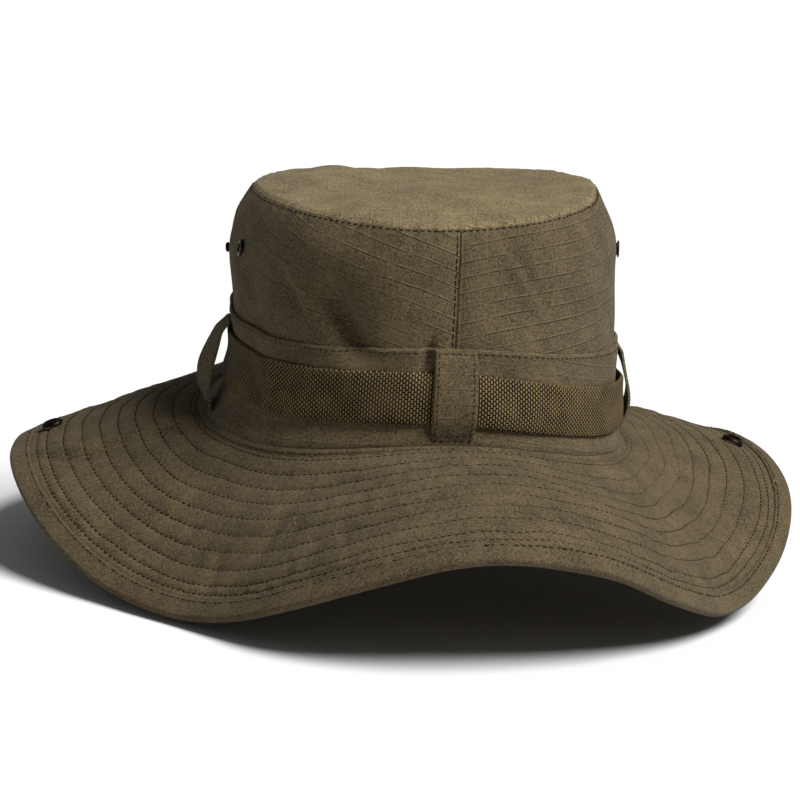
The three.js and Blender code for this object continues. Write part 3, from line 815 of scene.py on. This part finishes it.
def keeper_loop(name):
    """A folded strap over the webbing, sewn down at the band's top edge and at the brim seam."""
    middle = math.radians(LOOP_TURN[name])
    bowed = LOOP_BOW[name] > 2
    low = 0.6
    high = float(band_top(middle)) - (4.5 if bowed else 0.3)
    stretch = math.hypot(HEAD_HALF_WIDTH * math.cos(middle), HEAD_HALF_LENGTH * math.sin(middle))
    half_turn = LOOP_WIDTH / 2 / stretch
    across = edged(9, 0.07)
    up = edged(44, 0.02)
    angle = middle + (2 * across - 1)[:, None] * half_turn
    height = low + up[None, :] * (high - low)
    from_sides = np.minimum(across, 1 - across)[:, None] * LOOP_WIDTH
    edge = np.minimum(from_sides, np.minimum(up, 1 - up)[None, :] * (high - low))
    tilt = LOOP_TILT[name] * (2 * across - 1)[:, None] * np.sin(math.pi * up)[None, :]
    cup = 0.5 * (2 * across - 1)[:, None] ** 2 * bowed + tilt
    base = CLOTH + 2 * GAP + LOOP_CLEARANCE + loop_lift(name, up)[None, :] + cup
    outer = crown_point(angle, height / crown_height(angle), base + LOOP_THICKNESS * bulge(edge, 0.9))
    inner = crown_point(angle, height / crown_height(angle), base)
    places = np.broadcast_arrays((across * LOOP_WIDTH)[:, None], (up * (high - low))[None, :])
    places = np.stack(places, -1)
    piece = shell(f"keeper_loop_{name}", outer, inner, (places, places), BAND_CLOTH)
    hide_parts(f"keeper_loop_{name}")
    finished(piece, "crown")
    rows = []
    for share in (0.1, 0.9):
        line_angle = np.full(60, middle + (2 * share - 1) * half_turn)
        line_share = np.linspace(0.04, 0.96, 60)
        line_height = low + line_share * (high - low)
        off = CLOTH + 2 * GAP + LOOP_CLEARANCE + loop_lift(name, line_share) + LOOP_THICKNESS
        off = off + LOOP_TILT[name] * (2 * share - 1) * np.sin(math.pi * line_share)
        rows.append(strap_line(line_angle, line_height, off))
    for share in (0.06, 0.12, 0.96):
        line_angle = middle + np.linspace(-0.93, 0.93, 20) * half_turn
        line_height = np.full(20, low + share * (high - low))
        off = CLOTH + 2 * GAP + LOOP_CLEARANCE + loop_lift(name, share) + LOOP_THICKNESS
        rows.append(strap_line(line_angle, line_height, off))
    sewn = stitches(f"keeper_loop_{name}_stitches", rows, THREAD_PAINTED_SHADE, pitch=2.4, length=1.8, width=0.42)
    finished(sewn, "crown")
    if name in SIDES:
        for part in (piece, sewn):
            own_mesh(part)


def strap_line(angle, height, off):
    out = outward(angle)
    normals = np.concatenate([out, np.zeros((len(angle), 1))], -1)
    return crown_point(angle, height / crown_height(angle), off), normals


def crown_stitches():
    around = full_turn(720)
    rows = [crown_line(around, band_top(around) - 1.7, GAP + CLOTH + 0.35)]
    sewn = stitches("outer_band_stitches", rows, THREAD_PAINTED_SHADE)
    finished(sewn, "crown")
    seam = [crown_line(around, crown_height(around) - 1.3, -0.1)]
    for middle in (0, math.pi):
        at = np.linspace(0.42, 0.97, 120)
        angle = np.full(120, middle - 1.4 / MEAN_RADIUS)
        seam.append(strap_line(angle, at * crown_height(angle), -0.2))
    sewn = stitches("crown_seam_stitches", seam, THREAD_PAINTED_SHADE)
    finished(sewn, "crown")


# ---- brim ----
HALVES = {"left": slice(0, AROUND_BRIM // 2 + 1), "right": slice(AROUND_BRIM // 2, AROUND_BRIM + 1)}


def blended(piece):
    """Bakes a piece of the brim's placing into its mesh."""
    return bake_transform(piece)


def wander(angle, reach):
    """How far the stitched rows stray from their even spacing."""
    angle, reach = np.broadcast_arrays(angle, reach)
    points = np.stack([140 * np.sin(angle), -140 * np.cos(angle), reach], -1)
    free = smooth(reach / 15) * smooth((BRIM_WIDTH - BINDING_WIDTH - reach) / 8)
    return free * (0.9 * ripple(points, 55, 31) + 0.35 * ripple(points, 16, 32))


def quilting(angle, reach):
    """The brim's surface between its stitched rows: a groove at each, soft pillows and small puckers."""
    angle, reach = np.broadcast_arrays(angle, reach)
    rows = np.array(BRIM_ROWS)
    distance = np.abs(reach[..., None] - rows).min(-1)
    groove = -0.38 * bell(distance, 0.75)
    band = np.digitize(reach, rows)
    puckers = 0
    for index in range(len(rows) + 1):
        here = band == index
        puckers = puckers + here * (0.6 * hum(angle, 150, 40 + index) + 0.6 * hum(angle, 70, 60 + index // 2))
    share = smooth(distance / 1.2) * smooth((4.4 - distance) / 2.5 + 0.35)
    places = np.stack([reach * np.sin(angle), reach * np.cos(angle), 60 * np.sin(angle)], -1)
    patch = np.clip(0.5 + 0.6 * ripple(places, 40, 37), 0.05, 1.3)
    seam = -1.5 * bell(reach - 4, 0.9)
    pillow = 0.2 * smooth(distance / 4)
    return seam + groove * np.clip(0.5 + patch, 0.5, 1.2) + pillow + 0.5 * puckers * share * patch


def brim_reaches(step_shares):
    rows = (BRIM_START,) + BRIM_ROWS + (BRIM_WIDTH - 1.6,)
    reaches = []
    for near, far in zip(rows[:-1], rows[1:]):
        reaches.extend(near + share * (far - near) for share in step_shares)
    return np.unique(reaches + [rows[-1]] + list(SEAM_REACHES))


def brim_ply(name, up, step_shares):
    angles = full_turn(AROUND_BRIM)[:, None]
    reaches = brim_reaches(step_shares)[None, :]
    coarse = np.linspace(BRIM_START, BRIM_WIDTH - 1.6, 10)[None, :]
    bound = smooth((reaches - (BRIM_WIDTH - BINDING_WIDTH - 1)) / 1.5)
    swell = quilting(angles, reaches)
    face = up * (CLOTH + GAP / 2 + swell * (1 - bound) - 0.1 * bound)
    outer = brim_point(angles, reaches + wander(angles, reaches), face)
    inner = brim_point(angles, coarse, up * GAP / 2)
    normals = ring_normals(outer)
    normals *= up * np.sign(normals[0, 0, 2])
    for side, half in HALVES.items():
        parts = [grid[half] for grid in (outer, inner)]
        weave = [turned(brim_places(angles[half], at), 4 if up > 0 else 40) for at in (reaches, coarse)]
        piece = shell(f"brim_{name}_{side}", *parts, weave, BRIM_CLOTH_PAINTED_SHADE, outer_normals=normals[half])
        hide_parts(f"brim_{name}", f"brim_{name}_{side}_flap")
        blended(piece)


def ring_normals(points):
    """Normals of a grid whose last column is its first again."""
    wrapped = np.concatenate([points[-2:-1], points, points[1:2]])
    return grid_normals(wrapped)[1:-1]


def edge_binding():
    """The strip folded round the rim: over the top, round the edge and back under."""
    thick = CLOTH * 2 + GAP * 1.5
    flat = (0, 0.15, 0.4, 0.8, 1.6, 3, 4.5, 6, 7.2)
    outline = [(BRIM_WIDTH - BINDING_WIDTH + x, thick * (0.62 + 0.38 * float(bulge(x, 0.8)))) for x in flat]
    for degrees in range(75, -76, -15):
        a = math.radians(degrees)
        outline.append((BRIM_WIDTH - 1.5 + 1.6 * math.cos(a), thick * math.sin(a)))
    outline += [(reach, -lift) for reach, lift in outline[len(flat) - 1::-1]]
    angles = full_turn(AROUND_BRIM)
    reach, lift = np.array(outline).T
    inside = np.clip(reach, None, BRIM_WIDTH - 1.2)
    near_seam = bell(reach - (BRIM_WIDTH - BINDING_WIDTH + 1), 2.5)[None, :]
    puckers = 0.25 * hum(angles, 130, 33)[:, None] * near_seam
    puckers = puckers + 0.5 * bell((angles - BINDING_JOIN) * 180, 1)[:, None]
    outer = brim_point(angles[:, None], reach[None, :], lift[None, :] + np.sign(lift)[None, :] * puckers)
    inner = brim_point(angles[:, None], inside[None, :], (lift - np.sign(lift) * 0.7)[None, :])
    normals = ring_normals(outer)
    normals *= np.sign(normals[0, 4, 2])
    along = np.concatenate([[0], np.cumsum(np.hypot(np.diff(reach), np.diff(lift)))])
    around = angles * 178
    places = np.stack(np.broadcast_arrays(around[:, None], along[None, :]), -1)
    for side, half in HALVES.items():
        weave = (turned(places[half], 45), turned(places[half], 45))
        piece = shell(f"edge_binding_{side}_half", outer[half], inner[half], weave, BINDING,
                      outer_normals=normals[half])
        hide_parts(f"edge_binding_{side}", "edge_binding_front", "edge_binding_back")
        blended(piece)


def brim_stitches():
    for side, turn in SIDES.items():
        angles = np.linspace(0.004, math.pi - 0.004, 700) * turn
        for name, up in (("top", 1), ("under", -1)):
            rows = [(reach, CLOTH + GAP / 2 - 0.45) for reach in BRIM_ROWS]
            rows.append((BRIM_WIDTH - BINDING_WIDTH + 1.3, 2 * CLOTH + GAP * 1.5))
            lines = []
            for reach, lift in rows:
                spread = reach + wander(angles, np.full_like(angles, reach))
                line = brim_point(angles, spread, up * lift)
                normals = up * np.cross(brim_point(angles, spread + 1, 0) - line, np.gradient(line, axis=0))
                normals *= up * np.sign(normals[350, 2])
                lines.append((line, normals / np.linalg.norm(normals, axis=1, keepdims=True)))
            sewn = stitches(f"brim_{name}_stitches_{side}", lines, THREAD_PAINTED_SHADE)
            blended(sewn)


# ---- metal ----
def rounded(outline):
    """Cuts an outline's corners once, a little."""
    points = [np.array(outline[0], float)]
    for a, b, c in zip(outline[:-2], outline[1:-1], outline[2:]):
        a, b, c = (np.array(p, float) for p in (a, b, c))
        for other in (a, c):
            step = other - b
            size = np.linalg.norm(step)
            points.append(b + step * min(0.18 / size, 0.3))
    points.append(np.array(outline[-1], float))
    return np.array(points)


def lathe(name, node, outline, point, normal, body):
    """A turned metal piece standing on a point of the cloth."""
    profile = rounded(outline)
    turn = np.linspace(0, TURN, AROUND_METAL + 1)
    frame_turn = np.array(Vector((0, 0, 1)).rotation_difference(Vector(normal)).to_matrix())
    radius, height = profile[:, 0], profile[:, 1]
    turns = turn[:, None]
    grid = np.stack([np.cos(turns) * radius, np.sin(turns) * radius, 0 * turns + height], -1)
    grid = grid @ frame_turn.T + point
    ids = np.arange(grid.shape[0] * grid.shape[1]).reshape(grid.shape[:2])
    corners = grid_quads(ids)
    merged = np.arange(ids.size)
    merged[ids[-1]] = ids[0]
    along = np.concatenate([[0], np.cumsum(np.hypot(np.diff(radius), np.diff(height)))])
    places = np.stack(np.broadcast_arrays(turn[:, None] * 3, along[None, :]), -1).reshape(-1, 2)
    for end in (0, -1):
        if radius[end] < 0.001:
            merged[ids[:, end]] = ids[0, end]
    if np.allclose(profile[0], profile[-1]):
        merged[ids[:, -1]] = merged[ids[:, 0]]
    faces, corners = without_repeats(merged[corners], corners)
    piece = mesh_object(name, grid.reshape(-1, 3), faces, [places[c] for c in corners], METAL)
    piece.data.set_sharp_from_angle(angle=math.radians(50))
    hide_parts(node)
    return finished(piece, body)


def without_repeats(faces, corners):
    """Splits off the quads that end in one point, as triangles."""
    doubled = faces == np.roll(faces, -1, axis=1)
    whole = ~doubled.any(1)
    keep = ~doubled[~whole]
    triangles = [grid[~whole][keep].reshape(-1, 3) for grid in (faces, corners)]
    return [faces[whole], triangles[0]], [corners[whole], triangles[1]]


def facing(surface, angle, place):
    """A point of a surface and the way that it faces."""
    angles = angle + np.array((-0.01, 0, 0.01))[:, None]
    step = 0.01 if surface is crown_point else 1
    places = place + np.array((-step, 0, step))[None, :]
    grid = surface(angles, places, 0)
    normal = grid_normals(grid)[1, 1]
    return grid[1, 1], normal


def metal_pieces():
    hole, flange = VENT_HOLE_RADIUS, VENT_FLANGE_RADIUS
    eyelet = [(hole, -2.6), (hole + 0.6, -2.6), (hole + 0.6, GAP), (flange, GAP - 0.1),
              (flange - 0.4, GAP + 0.7), (hole + 0.4, GAP + 0.9), (hole, GAP + 0.5), (hole, -2.6)]
    washer = [(hole + 0.9, -2.1), (flange, -2.1), (flange, -1.5), (hole + 0.9, -1.5), (hole + 0.9, -2.1)]
    disc = SNAP_FLANGE_RADIUS
    stud = [(0, -1.2), (1.5, -1.2), (1.5, GAP), (disc, GAP - 0.2), (disc - 0.4, GAP + 0.8), (1.6, GAP + 0.9),
            (1.6, 2.2), (STUD_HEAD_RADIUS, 2.7), (STUD_HEAD_RADIUS, 3.3), (1.7, 3.8), (0, 3.8)]
    backing = [(0, -2.4), (disc, -2.4), (disc, -1.6), (0, -1.6)]
    rest = CLOTH + GAP + SOCKET_PLAY
    hole, rim = SOCKET_HOLE_RADIUS, SOCKET_RADIUS
    top = rest + 2
    socket = [(hole, rest), (rim, rest), (rim - 0.3, rest + 1.1), (rim - 2, top), (hole, top), (hole, rest)]
    cap = [(0, -rest - 1.2), (rim - 1, -rest - 1.2), (rim, -rest - 0.6), (rim, -rest), (0, -rest)]
    for side, turn in SIDES.items():
        for place, degrees in VENT_TURNS.items():
            point, normal = facing(crown_point, math.radians(turn * degrees), VENT_AT)
            for part, outline in (("eyelet", eyelet), ("washer", washer)):
                name = f"vent_{part}_{side}_{place}"
                lathe(name, name, outline, point, normal, "crown")
        point, normal = facing(crown_point, math.radians(turn * SNAP_TURN), SNAP_AT[side])
        lathe(f"snap_stud_{side}", f"snap_stud_{side}", stud, point, normal, "crown")
        lathe(f"stud_backing_{side}", f"stud_backing_{side}", backing, point, normal, "crown")
        point, normal = facing(brim_point, math.radians(turn * SOCKET_TURN), SOCKET_REACH)
        lathe(f"snap_socket_{side}", f"snap_socket_{side}", socket, point, -normal, f"{side}_brim_flap")
        lathe(f"snap_cap_{side}", f"snap_cap_{side}", cap, point, -normal, f"{side}_brim_flap")


# ---- camera, light and floor ----
def place_camera():
    azimuth, elevation, roll = (math.radians(a) for a in (CAMERA_AZIMUTH, CAMERA_ELEVATION, CAMERA_ROLL))
    level_share = math.cos(elevation)
    back = Vector((math.sin(azimuth) * level_share, -math.cos(azimuth) * level_share, math.sin(elevation)))
    right = Vector((math.cos(azimuth), math.sin(azimuth), 0))
    up = back.cross(right)
    across = right * math.cos(roll) + up * math.sin(roll)
    over = up * math.cos(roll) - right * math.sin(roll)
    aim_right, aim_up = (math.tan(math.radians(a)) for a in CAMERA_AIM)
    forward = (-back + across * aim_right + over * aim_up).normalized()
    across = forward.cross(over).normalized()
    over = across.cross(forward)
    data = bpy.data.cameras.new("camera")
    data.lens = CAMERA_LENS
    data.sensor_width = SENSOR_WIDTH
    data.clip_end = VIEW_DEPTH
    camera = bpy.data.objects.new("camera", data)
    turn = Matrix((across, over, -forward)).transposed().to_4x4()
    place = (Vector(CAMERA_TARGET) + back * CAMERA_DISTANCE) * MM
    camera.matrix_world = Matrix.Translation(place) @ turn
    bpy.context.collection.objects.link(camera)
    bpy.context.scene.camera = camera


def floor():
    material = bpy.data.materials.new("studio_floor")
    material.use_nodes = True
    surface = material.node_tree.nodes["Principled BSDF"]
    surface.inputs["Base Color"].default_value = (FLOOR_SHARE, FLOOR_SHARE, FLOOR_SHARE, 1)
    surface.inputs["Roughness"].default_value = 0.9
    low = CAD_BOX[0][2] - 0.001
    mesh = bpy.data.meshes.new("floor")
    corners = [(x * FLOOR_HALF, y * FLOOR_HALF, low) for x, y in ((-1, -1), (1, -1), (1, 1), (-1, 1))]
    mesh.from_pydata(corners, [], [(0, 1, 2, 3)])
    mesh.materials.append(material)
    piece = bpy.data.objects.new("floor", mesh)
    bpy.context.collection.objects.link(piece)


def studio():
    world = bpy.data.worlds.new("studio")
    world.use_nodes = True
    world.node_tree.nodes["Background"].inputs[0].default_value = (1, 1, 1, 1)
    world.node_tree.nodes["Background"].inputs[1].default_value = AMBIENT
    bpy.context.scene.world = world
    data = bpy.data.lights.new("key", "SUN")
    data.energy = KEY_POWER
    data.angle = math.radians(KEY_SOFTNESS)
    key = bpy.data.objects.new("key", data)
    turn, height = math.radians(KEY_TURN), math.radians(KEY_HEIGHT)
    level_share = math.cos(height)
    comes_from = Vector((math.sin(turn) * level_share, -math.cos(turn) * level_share, math.sin(height)))
    key.rotation_euler = (-comes_from).to_track_quat("-Z", "Y").to_euler()
    bpy.context.collection.objects.link(key)
    bpy.context.scene.view_settings.view_transform = "Standard"


place_camera()
studio()
floor()
for wall in SIDES:
    crown_side(wall, GRAIN[wall])
crown_tip()
crown_rings()
for loop in LOOP_TURN:
    keeper_loop(loop)
crown_stitches()
brim_ply("top_cloth", 1, (0, 0.07, 0.15, 0.28, 0.5, 0.72, 0.85, 0.93))
brim_ply("under_cloth", -1, (0, 0.12, 0.3, 0.7, 0.88))
edge_binding()
brim_stitches()
metal_pieces()
